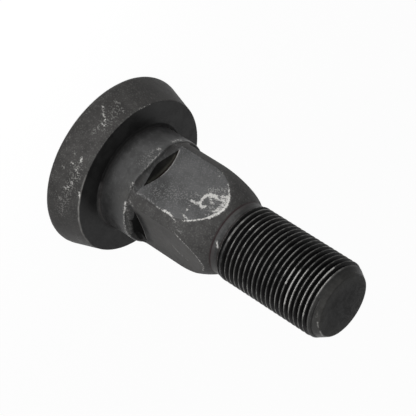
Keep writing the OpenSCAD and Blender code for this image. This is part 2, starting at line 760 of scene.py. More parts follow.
def crest_marks(*rows: tuple[float, float, float, float, float]) -> tuple[Mark, ...]:
    """Makes marks along the crests of the thread.

    Args:
        rows: The crest's number, counted from the collar, the directions at which the mark starts and
            ends, its spread and its strength.

    Returns:
        The marks.
    """
    thread, made = FineThread(), []
    for number, start, end, spread, strength in rows:
        steps = max(round((end - start) / CREST_STEP), 1)
        turns = [start + (end - start) * step / steps for step in range(steps + 1)]
        heights = [thread.first_crest + thread.pitch * (number - turn / 360) for turn in turns]
        path = tuple(round_bolt(thread.outside(z), turn, z) for turn, z in zip(turns, heights))
        made.append(Mark(path, spread, strength))
    return tuple(made)


on_front = partial(on_flat, 0)
on_side = partial(on_flat, 1)


@dataclass
class Wear:
    """Every mark and knock on the bolt: five tables of bare metal with some painted highlights among them,
    then faint lines that are mostly painted highlights, painted shade, and paler places with painted sheen.
    """

    front_flat: tuple[Mark, ...] = marks(
        on_front,
        # The rounded end of the flat that faces +X, worn thin on one side and wide in the middle
        (0.55, 1.25, (42.8, 10.8), (43.6, 10.4), (44.7, 9.7), (46.1, 8.6), (47.8, 7.2), (49.1, 5.9),
         (50.2, 4.6)),
        (0.85, 1.4, (50.2, 4.6), (50.7, 3.5), (51.3, 2.4), (51.7, 1.1), (51.9, -0.1)),
        (0.9, 1.4, (51.9, -0.1), (51.8, -1.5), (51.3, -3.0), (50.2, -4.7)),
        (0.6, 0.9, (50.2, -4.7), (48.6, -6.4), (47.0, -7.8)),
        (1.7, 1.0, (51.0, -2.3), (50.7, -0.8), (50.7, 0.5), (50.3, 1.8)),
        (1.5, 1.0, (48.5, -3.3), (49.6, -4.0), (50.6, -3.1), (49.8, -2.4)),
        (1.5, 0.6, (47.1, -2.1), (48.4, -2.1)),
        (1.3, 0.85, (48.6, -2.1), (49.3, -2.5), (49.8, -3.3)),
        # The hooked scratch inside it
        (1.0, 1.15, (41.6, 2.9), (43.0, 2.8), (44.2, 2.6)),
        (1.4, 1.05, (44.6, -1.3), (46.2, -2.0), (47.6, -1.9)),
        (0.95, 1.3, (46.5, 2.2), (46.0, 2.9), (45.0, 2.6), (44.2, 1.8), (44.0, 0.6), (44.0, -0.5)),
        (1.2, 1.35, (44.0, -0.5), (44.5, -1.4), (45.2, -2.1), (46.1, -2.3), (47.1, -2.4)),
        (1.1, 0.8, (45.6, -1.5), (46.6, -0.5), (47.4, 0.0), (48.2, 0.4)),
        # Scattered specks
        (0.8, 0.85, (43.0, 8.1), (43.8, 8.5), (44.5, 8.6), (45.2, 8.5)),
        (0.6, 0.85, (42.5, 6.0), (43.1, 6.4)),
        (0.6, 0.65, (42.5, 4.9), (42.4, 4.3)),
        (0.7, 0.55, (48.6, 4.7), (49.6, 3.6)),
        (0.9, 0.65, (49.0, 2.3), (49.9, 2.1)),
        (0.9, 0.5, (42.6, -8.6), (42.8, -10.0)),
        (2.2, 0.45, (43.7, -3.2), (45.8, -4.5), (48.2, -5.9)),
        (2.0, 0.42, (47.0, 2.5), (48.8, 1.0)),
        (1.8, 0.34, (39.6, 2.5), (41.0, 0.5), (42.6, 0.2)),
        (5.0, 0.23, (30.0, 6.5), (35.5, 4.0), (41.0, 2.0)),
        # A painted highlight on the far edge of its pocket
        (0.6, 1.05, (27.35, -3.0), (27.5, -1.85)),
    )
    side_flat: tuple[Mark, ...] = marks(
        on_side,
        # The rounded end of the flat that faces +Y, and a smear
        (0.5, 0.95, (42.4, -10.6), (43.6, -10.1), (45.4, -8.9)),
        (0.4, 0.85, (45.4, -8.9), (48, -6.9), (50, -4.9), (51.2, -3)),
        (0.5, 0.95, (51.2, -3), (51.9, -1), (51.9, 1), (51.2, 3)),
        (0.8, 0.48, (39.4, -1.0), (40.9, 1.0), (42.6, 2.3)),
        (0.7, 0.42, (43.0, 1.5), (45.0, 3.0)),
    )
    edges: tuple[Mark, ...] = marks(
        in_place,
        # The edges between the front flat and the corners next to it
        (0.6, 0.42, (13.6, 10.4, 25.4), (13.6, 9.8, 28.0), (13.6, 10.2, 31.0), (13.6, 10.5, 34.1)),
        (0.5, 0.65, (13.6, 10.5, 34.1), (13.6, 10.5, 36.6)),
        (0.9, 1.1, (13.6, 10.4, 37.0), (13.6, 10.3, 38.8), (13.5, 10.5, 40.0)),
        (0.8, 0.8, (13.5, 10.5, 40.0), (13.2, 10.9, 41.3)),
        (0.7, 0.55, (13.2, 10.9, 41.3), (12.8, 11.2, 42.3), (12.9, 10.9, 43.0)),
        (0.8, 0.5, (13.65, -9.9, 41.0), (13.5, -10.3, 42.5)),
        # A corner's own skin
        (1.1, 0.46, (11.3, 13.0, 24.0), (11.1, 13.2, 24.6)),
        (0.7, 0.46, (10.8, 13.5, 25.6), (10.2, 13.9, 25.3)),
        (1.0, 0.42, (11.6, 12.1, 43.2), (10.8, 12.4, 45.4)),
        (0.7, 0.42, (8.6, 12.3, 50.4), (8.0, 12.2, 51.4)),
        # Painted light on the neck's end face beside the lower pocket
        (1.6, 0.48, (8.4, 14.6, 23.3), (5.0, 15.2, 23.2), (2.0, 16.0, 23.2), (-2.4, 16.4, 23.2)),
        # The edge of the neck, worn and with a painted highlight along it, and specks below it
        (0.75, 1.05, (15.05, 9.0, 22.9), (14.9, 9.3, 22.9)),
        (0.8, 0.72, (14.4, 10.0, 22.8), (14.1, 10.4, 22.9)),
        (0.6, 0.52, (16.2, -3.9, 22.8), (16.2, -2.3, 22.9), (16.2, -0.5, 22.9), (16.1, 1.6, 23.0),
         (16.0, 3.2, 23.0)),
        (0.5, 0.45, (16.0, 3.2, 23.0), (15.8, 5.2, 23.0), (15.7, 6.3, 23.0)),
        (0.9, 0.72, (16.4, -4.0, 21.6), (16.3, -4.8, 21.9)),
        (1.6, 0.36, (16.4, -2.6, 20.8), (16.3, -0.5, 21.4)),
        (2.6, 0.24, (16.6, 2.5, 20.4), (16.5, -1.5, 20.8)),
        # Painted highlights on the tapered end and the edge of the end face
        (0.5, 0.5, (7.1, 8.7, 95.0), (5.6, 9.5, 95.3)),
        (0.5, 0.75, (4.0, 10.0, 95.7), (2.4, 10.4, 95.8), (1.8, 10.4, 96.0)),
        (0.6, 0.7, (0.0, 10.5, 96.1), (-2.7, 10.2, 96.1), (-4.2, 9.9, 95.9)),
        (0.8, 0.55, (2.8, -11.1, 94.5), (1.6, -11.4, 94.5)),
        (1.2, 0.4, (8.2, -7.4, 95.6), (6.2, -9.2, 95.6)),
    )
    rounds: tuple[Mark, ...] = marks(
        round_bolt,
        # The edge of the neck
        (0.95, 0.9, (17.5, 52, 22.9), (17.55, 57, 22.9), (17.5, 64, 22.9)),
        (0.65, 0.72, (17.5, 63, 22.9), (17.5, 75, 22.9), (17.5, 88, 22.9)),
        (0.7, 0.6, (17.5, 88, 22.9), (17.5, 96, 22.9), (17.5, 104, 22.9)),
        (1.3, 0.75, (17.6, -34, 22.4), (17.6, -40, 22.0), (17.6, -46, 22.4)),
        (0.7, 0.5, (17.5, -46, 22.8), (17.5, -58, 22.8), (17.5, -72, 22.8)),
        # The collar
        (0.8, 0.95, (12.3, 41, 55.4), (12.3, 45, 56.0), (12.3, 47, 56.3)),
        # The head's rim
        (0.6, 0.95, (28.7, -3, 4.6), (28.4, -1, 5.6), (28.0, 1, 6.8), (27.6, 3, 8.0)),
        (0.9, 0.8, (27.6, 3, 8.0), (27.4, 6, 8.7)),
        (0.9, 0.55, (27.7, 6, 7.8), (27.7, 8, 7.7), (27.8, 10, 7.4), (27.8, 14, 7.4)),
        (1.0, 0.5, (28.4, -11, 5.4), (28.1, -12, 6.6)),
        (0.8, 0.58, (27.8, -9, 7.4), (27.5, -10, 8.5), (27.0, -10, 10.0)),
        (0.7, 0.5, (28.5, 30, 5.3), (28.1, 31, 6.6)),
        (0.6, 0.5, (27.9, 26, 7.2), (27.6, 27, 8.0)),
        (0.7, 1.0, (27.5, 31, 8.5), (27.4, 33, 8.6), (27.5, 35, 8.3), (27.6, 37, 8.1)),
        (0.6, 0.95, (28.1, 37, 6.6), (28.2, 39, 6.3), (28.2, 41, 6.1)),
        (0.7, 0.62, (28.8, 42, 4.1), (28.6, 42, 4.9)),
        (1.2, 0.62, (27.4, 39, 8.7), (27.1, 42, 9.6), (27.0, 46, 9.9)),
        (1.1, 0.75, (27.4, 48, 8.6), (27.5, 51, 8.3), (27.8, 54, 7.6)),
        (1.0, 0.6, (28.1, 54, 6.6), (27.8, 55, 7.3)),
        (1.2, 0.48, (28.6, 60, 5.0), (28.3, 63, 5.8)),
        (1.3, 0.44, (28.3, 66, 5.9), (28.1, 71, 6.6), (28.2, 76, 6.2)),
        (3.0, 0.32, (27.2, 38, 9.2), (27.4, 56, 8.2), (28.0, 70, 6.4)),
        (3.0, 0.3, (27.6, -8, 8.0), (27.4, 6, 9.2)),
        (2.2, 0.36, (27.2, 96, 9.8), (27.4, 104, 8.6)),
        # The edge of the bearing face where it is worn most
        (0.6, 1.0, (26.4, 53, 11.8), (26.4, 57, 11.9)),
        (0.4, 0.6, (26.3, -20, 12.1), (26.2, -30, 12.1)),
    )
    crests: tuple[Mark, ...] = crest_marks(
        (3, -6, 4, 0.35, 0.9),
        (13, 16, 28, 0.35, 0.85),
        (14, 14, 38, 0.45, 1.15),
        (15, 12, 66, 0.5, 1.2),
        (16, 6, 66, 0.45, 1.0),
        (17, -4, 27, 0.35, 0.75),
        (18, -8, 52, 0.45, 0.95),
        (19, -18, 4, 0.55, 1.3),
        (19, 4, 66, 0.45, 1.0),
        (19.85, -4, 30, 0.45, 1.1),
    )
    lines: tuple[Mark, ...] = (
        *marks(
            round_bolt,
            # The edge of the bearing face
            (0.4, 0.16, (26.3, 40, 12.05), (26.3, 47, 12.05), (26.3, 54, 12.05)),
            (0.4, 0.32, (26.3, 54, 12.05), (26.3, 65, 12.05), (26.3, 76, 12.05), (26.3, 88, 12.05)),
            (0.4, 0.2, (26.3, 88, 12.05), (26.3, 96, 12.05), (26.3, 104, 12.05)),
            # A painted highlight on the neck's root
            (0.5, 0.04, (18.0, 66, 12.5), (18.0, 80, 12.5), (18.0, 94, 12.5), (18.0, 104, 12.5)),
            # A painted sheen on the tapered end
            (1.3, 0.06, (11.75, 36, 94.1), (11.75, 52, 94.1), (11.75, 70, 94.0), (11.75, 90, 93.9)),
            (1.3, 0.025, (11.4, -34, 94.8), (11.4, -16, 94.8), (11.4, 2, 94.7), (11.4, 14, 94.6)),
        ),
        # Painted highlights on the far edge of one pocket and the ridge beside the other, and painted light
        # on the neck's end face beside that
        *marks(
            on_front,
            (0.5, 0.42, (25.55, -8.8), (26.4, -6.7), (27.2, -4.0), (27.5, -1.85), (27.55, -0.2)),
            (0.45, 0.22, (27.55, -0.2), (27.3, 1.7)),
        ),
        *marks(on_side, (0.5, 0.2, (25.7, -5.8), (25.85, -2.3), (25.95, 1.5), (25.9, 4.5), (25.7, 6.6))),
        *marks(
            in_place,
            (1.5, 0.07, (8.4, 14.6, 23.3), (5.0, 15.4, 23.2), (2.0, 16.2, 23.2), (-2.4, 16.6, 23.2)),
        ),
        # The end face's border
        *ring_marks((9.2, 96.3, 0, 360, 15, 4.5, 0.05)),
        # The last crest, where the taper cuts it
        *crest_marks(
            (19.82, -62, -24, 0.35, 0.3),
            (19.82, -24, 60, 0.35, 0.5),
            (19.82, 60, 104, 0.35, 0.35),
        ),
    )
    painted_shade: tuple[Mark, ...] = (
        # Painted shade round the neck's root, and along the collar's edge to the dome
        *ring_marks(
            (17.65, 14.4, 125, 260, 15, 3.6, 0.4),
            (17.65, 12.6, -90, 45, 15, 3.8, 0.75),
            (18.2, 12.3, -90, 45, 15, 1.8, 1.0),
            (17.65, 15.0, 65, 125, 10, 9.0, 0.5),
            (12.3, 54.2, 0, 360, 10, 0.42, 1.0),
        ),
        *marks(
            round_bolt,
            (3.4, 0.5, (17.65, 45, 12.8), (17.65, 65, 12.8)),
            (1.2, 0.6, (18.2, 56, 12.3), (18.2, 66, 12.3)),
            # Painted shade along two sides of the thread, where its crests are less bare too, and on the
            # tapered end
            (4.5, 0.5, (12.7, -18, 58.0), (12.7, -18, 92.0)),
            (6.5, 0.5, (12.7, -31, 58.0), (12.7, -31, 92.0)),
            (6.5, 0.5, (12.7, 61, 58.0), (12.7, 61, 76.0)),
            (2.2, 0.8, (11.6, -56, 94.4), (11.6, -68, 94.4)),
        ),
        # Painted shade by both pockets
        *marks(on_front, (5.5, 0.3, (29.5, 3.0), (30.5, 8.0))),
        *marks(on_side, (2.6, 1.1, (26.8, -6.6), (27.4, -3.0), (27.5, 1.0), (27.2, 5.0), (26.4, 7.0))),
        *marks(
            in_place,
            # A painted shadow on the neck's end face beside the lower pocket
            (1.5, 2.8, (2.6, 12.6, 23.2), (-0.2, 13.7, 23.2), (-2.6, 14.5, 23.2), (-7.6, 13.7, 23.2)),
            # Darker over the middle of the end face
            (9.0, 0.6, (0.0, -3.5, 96.33), (0.0, 3.5, 96.33)),
            (5.5, 1.0, (1.8, 0.8, 96.33), (3.6, 2.6, 96.33)),
        ),
    )
    pale_and_sheen: tuple[Mark, ...] = (
        # Paler on a corner, a painted sheen inside the upper pocket, paler over both flats, and a painted
        # sheen round the end
        *marks(
            in_place,
            (8.0, 0.7, (12.2, 12.2, 24.5), (12.2, 12.2, 41.0)),
            (0.8, 0.85, (12.6, -7.0, 25.3), (11.8, -5.3, 25.3), (11.4, -3.8, 25.2), (11.3, -2.1, 25.1)),
            (0.8, 0.75, (11.3, -2.1, 25.1), (11.4, -0.3, 25.1), (11.7, 1.9, 25.1), (12.6, 5.0, 25.2)),
            (1.4, 0.3, (12.0, -4.2, 25.1), (12.3, -5.0, 25.0)),
        ),
        *marks(on_front, (12.0, 0.75, (34.0, -4.0), (49.0, -3.0)), (6.0, 0.75, (38.0, 9.0), (44.0, 7.0))),
        *marks(on_side, (13.0, 0.8, (40.0, -1.0), (48.0, -1.0))),
        *ring_marks((10.7, 95.9, 0, 360, 15, 4.0, 0.8)),
    )
    dents: tuple[Dent, ...] = (
        Dent((13.4, 10.9, 38.4), 1.5, 0.28),
        Dent((13.3, 10.9, 40.4), 1.0, 0.18),
        Dent((14.9, 9.5, 22.9), 1.3, 0.30),
        Dent((8.7, 8.7, 55.9), 0.9, 0.16),
        Dent((23.0, 15.6, 7.6), 1.4, 0.16),
        Dent((28.4, -0.6, 5.6), 1.1, 0.14),
        Dent((20.1, 18.9, 8.6), 1.2, 0.14),
        Dent((12.2, -12.6, 22.9), 1.2, 0.20),
    )

    @property
    def scuffs(self) -> tuple[Mark, ...]:
        """All the marks that bare the metal, painted highlights among them."""
        return (*self.front_flat, *self.side_flat, *self.edges, *self.rounds, *self.crests)


@dataclass
class Forging:
    """The whole bolt as one closed piece."""

    head: HeadAndNeck = field(default_factory=HeadAndNeck)
    thread: FineThread = field(default_factory=FineThread)
    wear: Wear = field(default_factory=Wear)
    columns: tuple[tuple[float, int], ...] = ((4.5, 4), (5.0, 9), (71.0, 72), (5.0, 9), (4.5, 4))
    collar_stop: float = 55.6
    end_cut: float = 95.6
    face_up: float = 0.9
    end_up: float = 0.97
    flat_cut: float = 0.06
    pocket_cut: float = 0.3
    root_cut: float = 0.04
    weld: float = 1e-4
    ring_slack: float = 0.01
    broad_scale: float = 0.16
    close_scale: float = 0.55
    hard_degrees: float = 27.0
    full_degrees: float = 24.0

    def __post_init__(self) -> None:
        """Sets the square on the neck's end face."""
        self.square = Square(base=self.head.neck_end)

    def build(self) -> bpy.types.Object:
        """Builds the closed mesh.

        Returns:
            The bolt's object, at the origin and in metres.
        """
        bm = bmesh.new()
        pen = Pen(bm, 0, 0, Zone.HEAD)
        self.head.draw(pen)
        self.square.draw(pen, self.collar_stop)
        pen.spin(self.columns, start=-45)
        for vert in bm.verts:
            zone = Zone(vert[pen.zone])
            if zone is Zone.NECK and vert.co.x > 0:
                vert.co = self.head.press_facet(vert.co)
            elif zone in (Zone.STEP, Zone.POCKET, Zone.SQUARE, Zone.DOME):
                edge = Vector((vert.co.x, vert.co.y, 0)).normalized() * self.head.step_r
                edge.z = self.head.neck_end
                if edge.x > 0:
                    edge = self.head.press_facet(edge)
                made = self.square.place(zone, vert[pen.share], vert.co, edge)
                vert.co, vert[pen.sunk], vert[pen.flat] = made
        for part in (self.thread.build(), self.thread.build_end(self.end_cut)):
            bm.from_mesh(part)
            bpy.data.meshes.remove(part)
        bmesh.ops.remove_doubles(bm, verts=bm.verts, dist=self.weld)
        self.bridge(bm, self.collar_stop, self.thread.cut_low)
        self.bridge(bm, self.thread.cut_high, self.end_cut)
        bmesh.ops.recalc_face_normals(bm, faces=bm.faces)
        self.forge(bm)
        self.crease(bm)
        return self.finish(bm)

    def bridge(self, bm: bmesh.types.BMesh, low: float, high: float) -> None:
        """Joins two open rings.

        Args:
            bm: The mesh in millimetres.
            low: Height of one ring.
            high: Height of the other.
        """
        ring = [
            edge for edge in bm.edges if edge.is_boundary
            and any(all(abs(vert.co.z - z) < self.ring_slack for vert in edge.verts) for z in (low, high))
        ]
        bmesh.ops.bridge_loops(bm, edges=ring)

    def forge(self, bm: bmesh.types.BMesh) -> None:
        """Gives the skin the slight unevenness and the knocks of a forging, always inwards.

        Args:
            bm: The closed mesh in millimetres.
        """
        depth = {
            Zone.HEAD: 0.07, Zone.NECK: 0.03, Zone.STEP: 0.03, Zone.POCKET: 0.03, Zone.SQUARE: 0.05,
            Zone.DOME: 0.06, Zone.COLLAR: 0.02, Zone.THREAD: 0.02, Zone.END: 0.05,
        }
        zone = bm.verts.layers.int["zone"]
        bm.normal_update()
        moves = []
        for vert in bm.verts:
            broad = noise.noise(vert.co * self.broad_scale)
            close = noise.noise(vert.co * self.close_scale + Vector((7, 3, 5)))
            share = 0.5 + 0.36 * broad + 0.2 * close
            knock = sum(dent.at(vert.co) for dent in self.wear.dents)
            moves.append(vert.normal * (depth[Zone(vert[zone])] * share + knock))
        for vert, move in zip(bm.verts, moves):
            vert.co -= move

    def slot_of(self, face: bmesh.types.BMFace, layers: bmesh.types.BMLayerAccessVert) -> Slot:
        """Chooses a face's finish by its zone, its direction and how far it is cut back.

        Args:
            face: A face of the closed mesh.
            layers: The layers of the mesh's vertices.

        Returns:
            The material slot.
        """
        zone, flat, sunk = layers.int["zone"], layers.float["flat"], layers.float["sunk"]
        slot = SLOT_OF_ZONE[Zone(max(vert[zone] for vert in face.verts))]
        # The bearing face takes a darker copy of the head's finish: painted shade
        if slot is Slot.HEAD and face.normal.z > self.face_up:
            return Slot.FACE
        # The neck's root fillet takes the matt root finish: painted shade
        if slot is Slot.NECK and face.calc_center_median().z < self.head.height + self.head.neck_root_r:
            return Slot.ROOT
        if slot is Slot.END and face.normal.z < self.end_up:
            return Slot.THREAD
        if slot is Slot.SQUARE:
            depths = [vert[sunk] for vert in face.verts]
            # Deep in a pocket: the pocket's painted shade
            if max(depths) > self.pocket_cut:
                return Slot.POCKET
            # At a flat's root: the matt root finish, painted shade
            if min(depths) > self.root_cut:
                return Slot.ROOT
            # Flats facing ±X take the lit copy and flats facing ±Y the shaded copy: painted light and shade
            if min(vert[flat] for vert in face.verts) > self.flat_cut:
                return Slot.LIT_FLAT if abs(face.normal.x) > abs(face.normal.y) else Slot.SHADED_FLAT
        return slot

    def crease(self, bm: bmesh.types.BMesh) -> None:
        """Marks the hard edges, gives each face its finish, and notes the proud edges and the nooks.

        Args:
            bm: The closed mesh in millimetres.
        """
        layers = bm.verts.layers
        proud, nook = (layers.float.new(name) for name in ("proud", "nook"))
        bm.normal_update()
        for face in bm.faces:
            face.smooth = True
            face.material_index = self.slot_of(face, layers).value
        for edge in bm.edges:
            angle = edge.calc_face_angle_signed(0)
            if abs(angle) > math.radians(self.hard_degrees):
                edge.smooth = False
            bend = max(min(angle / math.radians(self.full_degrees), 1.0), -1.0)
            for vert in edge.verts:
                vert[proud] = max(vert[proud], bend)
                vert[nook] = max(vert[nook], -bend)

    def finish(self, bm: bmesh.types.BMesh) -> bpy.types.Object:
        """Turns the mesh into the bolt's object, in metres, with its worn marks, painted shade and paler
        places with painted sheen measured.

        Args:
            bm: The closed mesh in millimetres.

        Returns:
            The object.
        """
        mesh = as_mesh(bm, "forged_bolt")
        points = np.empty(len(mesh.vertices) * 3)
        mesh.vertices.foreach_get("co", points)
        points = points.reshape(-1, 3)
        wear = self.wear
        kinds = {"bare": wear.scuffs, "line": wear.lines, "painted_shade": wear.painted_shade, "pale_and_sheen": wear.pale_and_sheen}
        for name, placed in kinds.items():
            measure = np.max([mark.over(points) for mark in placed], axis=0)
            mesh.attributes.new(name, "FLOAT", "POINT").data.foreach_set("value", measure)
        mesh.transform(Matrix.Scale(MM, 4))
        mesh.update()
        return add_object("forged_bolt", mesh)


@dataclass
class NodeBench:
    """Short ways to lay out a material's nodes."""

    tree: bpy.types.NodeTree

    @classmethod
    def cleared(cls, owner: bpy.types.Material | bpy.types.World) -> "NodeBench":
        """Empties the nodes of a material or a world, to lay out new ones."""
        owner.use_nodes = True
        owner.node_tree.nodes.clear()
        return cls(owner.node_tree)

    def node(self, kind: str, values: dict[str, object] | None = None, **inputs: object) -> bpy.types.Node:
        """Adds a node, sets its properties, and sets or links its inputs.

        Args:
            kind: The node's type name, without the ShaderNode prefix.
            values: Properties of the node, by name.
            inputs: Input values or output sockets, by input name with _ for a space.

        Returns:
            The node.
        """
        made = self.tree.nodes.new("ShaderNode" + kind)
        for name, value in (values or {}).items():
            setattr(made, name, value)
        for name, value in inputs.items():
            self.feed(made.inputs[name.replace("_", " ")], value)
        return made

    def feed(self, socket: Socket, value: object) -> None:
        """Links a socket to an output, or sets its value."""
        if isinstance(value, Socket):
            self.tree.links.new(value, socket)
        else:
            socket.default_value = value

    def sums(self, operation: str, first: object, second: object = 0.0, clamp: bool = False) -> Socket:
        """A math node's result."""
        made = self.node("Math", {"operation": operation, "use_clamp": clamp})
        self.feed(made.inputs[0], first)
        self.feed(made.inputs[1], second)
        return made.outputs[0]

    def blend(self, share: object, first: object, second: object) -> Socket:
        """A mix of two colours."""
        made = self.node("Mix", {"data_type": "RGBA"})
        self.feed(made.inputs[0], share)
        self.feed(made.inputs[6], first)
        self.feed(made.inputs[7], second)
        return made.outputs[2]

    def rescale(self, value: object, low: float, high: float, to_low: float, to_high: float) -> Socket:
        """A value moved from one range to another, smoothly and clamped."""
        made = self.node("MapRange", {"interpolation_type": "SMOOTHSTEP"})
        for socket, given in zip(made.inputs, (value, low, high, to_low, to_high)):
            self.feed(socket, given)
        return made.outputs[0]

    def measure(self, name: str) -> Socket:
        """Reads one of the mesh's own measures."""
        return self.node("Attribute", {"attribute_name": name}).outputs["Fac"]

    def white_rays(self) -> Socket:
        """1 for the rays that see the background as plain white: the camera's, glossy and clear ones."""
        path = self.node("LightPath").outputs
        glossy = self.sums("MAXIMUM", path["Is Glossy Ray"], path["Is Transmission Ray"])
        return self.sums("MAXIMUM", path["Is Camera Ray"], glossy)

    def grain(self, where: Socket, size_mm: float, detail: float = 2.0) -> Socket:
        """Noise whose lumps are about so many millimetres apart."""
        made = self.node("TexNoise", None, Vector=where, Scale=1000 / size_mm, Detail=detail)
        return made.outputs[0]


@dataclass(frozen=True)
class BlackedSteel:
    """Forged steel with a dark phosphate skin, flecked with pale grains and rubbed bare in its marks, with
    painted shade and sheen laid into its colour.

    The noises' sizes are in millimetres. A reach is a depth below the bolt's outside, in millimetres.
    """

    name: str
    dark: Colour
    pale: Colour
    grains: float = 0.3
    grain_mm: float = 0.8
    mottle_mm: float = 7.0
    patch_mm: float = 2.2
    speck_mm: float = 0.5
    sunk_skin: Colour = (0.003, 0.003, 0.003, 1)
    sunk_reach: float = 0.35
    painted_nook_tone: Colour = (0.018, 0.012, 0.011, 1)
    pale_and_sheen_colour: Colour = (0.052, 0.051, 0.048, 1)
    bared: Colour = (0.47, 0.463, 0.445, 1)
    bare_reach: float = DEEPEST
    hold: float = 0.9
    edge_wear: float = 0.25
    crest_wear: float = 0.0
    roughness: float = 0.45
    gloss: float = 0.1
    relief: float = 0.00006

    def make(self) -> bpy.types.Material:
        """Builds the material.

        Returns:
            The material.
        """
        material = bpy.data.materials.new(self.name)
        bench = NodeBench.cleared(material)
        where = bench.node("TexCoord").outputs["Object"]
        mottle, patch = bench.grain(where, self.mottle_mm), bench.grain(where, self.patch_mm)
        grain, speck = bench.grain(where, self.grain_mm, 1.5), bench.grain(where, self.speck_mm, 1.0)
        mask = self.bare(bench, patch, speck)
        colour = bench.blend(mask, self.skin(bench, bench.sums("ADD", mottle, patch), grain), self.bared)
        lumps = bench.sums("ADD", grain, patch)
        rough = bench.rescale(lumps, 0.8, 1.2, self.roughness - 0.05, self.roughness + 0.07)
        height = bench.sums("SUBTRACT", lumps, bench.sums("MULTIPLY", mask, 0.4))
        bump = bench.node("Bump", None, Strength=0.3, Distance=self.relief, Height=height)
        shader = bench.node(
            "BsdfPrincipled", None, Base_Color=colour, Normal=bump.outputs[0], IOR=1.5,
            Roughness=bench.sums("SUBTRACT", rough, bench.sums("MULTIPLY", mask, 0.08)),
            Metallic=bench.sums("MULTIPLY", mask, 0.5),
        )
        shader.inputs["Specular IOR Level"].default_value = self.gloss
        bench.feed(bench.node("OutputMaterial").inputs["Surface"], shader.outputs[0])
        return material

    def bare(self, bench: NodeBench, patch: Socket, speck: Socket) -> Socket:
        """Finds where the skin is gone: in the worn marks, on proud edges and crests, and along the lines;
        the bare colour also serves for painted highlights.

        Args:
            bench: The material's nodes.
            patch: Noise that breaks up the wear.
            speck: Fine noise for the specks of skin that hold on inside it.

        Returns:
            The share of bare metal.
        """
        edges = bench.rescale(patch, 0.4, 0.62, 0, self.edge_wear)
        edges = bench.sums("MULTIPLY", bench.measure("proud"), edges)
        rubbed = bench.sums("MAXIMUM", bench.measure("bare"), edges)
        held = bench.rescale(speck, 0.62, 0.38, 0, self.hold)
        mask = bench.sums("SUBTRACT", bench.sums("MULTIPLY", rubbed, 1.3), held, clamp=True)
        mask = bench.sums("MULTIPLY", mask, bench.rescale(rubbed, 0.2, 1.0, 0.3, 1))
        near = bench.rescale(bench.measure("sunk"), self.bare_reach / 4, self.bare_reach, 1, 0)
        mask = bench.sums("MULTIPLY", mask, near)
        crests = bench.rescale(bench.measure("ridge"), 0.86, 1.0, 0, self.crest_wear)
        crests = bench.sums("MULTIPLY", crests, bench.rescale(patch, 0.35, 0.65, 0.45, 1.5))
        crests = bench.sums("MULTIPLY", crests, bench.rescale(bench.measure("painted_shade"), 0, 1, 1, 0))
        lines = bench.sums("MULTIPLY", bench.measure("line"), bench.rescale(patch, 0.35, 0.65, 0.75, 1.2))
        return bench.sums("MAXIMUM", mask, bench.sums("MAXIMUM", crests, lines))

    def skin(self, bench: NodeBench, tone: Socket, grain: Socket) -> Socket:
        """Colours the unworn skin: mottled, paler in places and with painted sheen where marked, flecked, a
        painted tone in its nooks, and near black with painted shade where sunk and where marked.

        Args:
            bench: The material's nodes.
            tone: Broad noise, about 1 on average.
            grain: Fine noise for the pale grains.

        Returns:
            The skin's colour.
        """
        skin = bench.blend(bench.rescale(tone, 0.8, 1.2, 0, 1), self.dark, self.pale)
        # Paler where marked, and a painted sheen where the marks stand for it
        patchy = bench.rescale(tone, 0.75, 1.2, 0.7, 1.15)
        pale_and_sheen = bench.sums("MULTIPLY", bench.measure("pale_and_sheen"), patchy, clamp=True)
        skin = bench.blend(pale_and_sheen, skin, self.pale_and_sheen_colour)
        fleck = tuple(2.6 * part for part in self.pale[:3])
        skin = bench.blend(bench.rescale(grain, 0.5, 0.7, 0, self.grains), skin, (*fleck, 1))
        # A painted tone in the concave edges: painted shade on most finishes, and lighter than the skin on
        # the near-black ones
        skin = bench.blend(bench.rescale(bench.measure("nook"), 0.35, 1.0, 0, 0.85), skin, self.painted_nook_tone)
        # Painted shade: near black with depth below the outside, at the flats' roots, and where painted
        # shade is marked
        dim = bench.rescale(bench.measure("sunk"), 0.0, self.sunk_reach, 0, 1)
        return bench.blend(bench.sums("MAXIMUM", dim, bench.measure("painted_shade")), skin, self.sunk_skin)


def grey(tone: float, warmth: float = 0.0) -> Colour:
    """A grey, warmer or, where warmth is below 0, bluer."""
    return (tone * (1 + warmth), tone, tone * (1 - warmth), 1)


